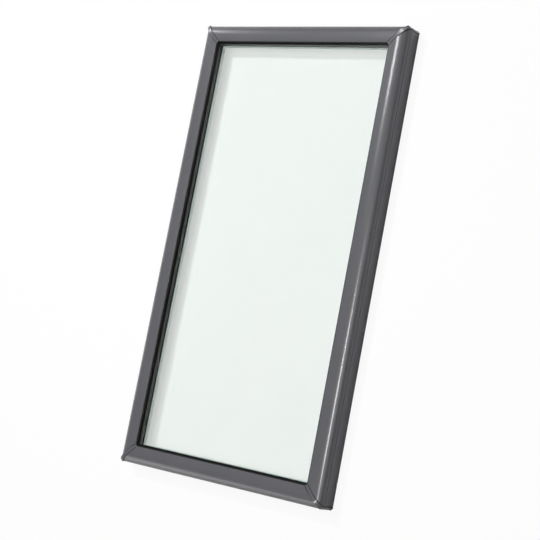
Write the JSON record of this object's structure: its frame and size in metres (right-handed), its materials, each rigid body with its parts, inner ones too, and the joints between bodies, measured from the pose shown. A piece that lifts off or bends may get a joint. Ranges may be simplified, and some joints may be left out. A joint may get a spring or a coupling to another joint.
{
  "type": "curb mount skylight",
  "caption": "Fixed curb mount skylight: sealed glass unit in a dark metal bullnose frame with mitred corners, over an insulating frame and a skirt that laps a roof curb.",
  "frame": {"origin": "centre of the base, on the plane of the skirt's lower edges, under the middle of the glass", "axes": "+X across the skylight, +Y along its length up the slope to the top member, +Z out of the glass away from the roof"},
  "size_m": [0.6982, 1.3078, 0.0682],
  "materials": {
    "cladding": "satin",
    "black_rubber": "matte",
    "seat_foam": "matte",
    "frame_pvc": "matte",
    "glass": "polished",
    "spacer": "satin"
  },
  "bodies": {
    "root": {"cladding_top": "cladding", "cladding_bottom": "cladding", "cladding_left": "cladding", "cladding_right": "cladding", "corner_cover_top_left": "cladding", "corner_cover_top_right": "cladding", "corner_cover_bottom_left": "cladding", "corner_cover_bottom_right": "cladding", "skirt_top": "cladding", "skirt_bottom": "cladding", "skirt_left": "cladding", "skirt_right": "cladding", "glazing_gasket_top": "black_rubber", "glazing_gasket_bottom": "black_rubber", "glazing_gasket_left": "black_rubber", "glazing_gasket_right": "black_rubber", "glazing_tape_top": "black_rubber", "glazing_tape_bottom": "black_rubber", "glazing_tape_left": "black_rubber", "glazing_tape_right": "black_rubber", "curb_gasket_top": "seat_foam", "curb_gasket_bottom": "seat_foam", "curb_gasket_left": "seat_foam", "curb_gasket_right": "seat_foam", "frame_top": "frame_pvc", "frame_bottom": "frame_pvc", "frame_left": "frame_pvc", "frame_right": "frame_pvc", "locator_top": "frame_pvc", "locator_bottom": "frame_pvc", "locator_left": "frame_pvc", "locator_right": "frame_pvc", "outer_pane": "glass", "inner_pane": "glass", "edge_seal": "black_rubber", "spacer": "spacer"}
  },
  "joints": []
}
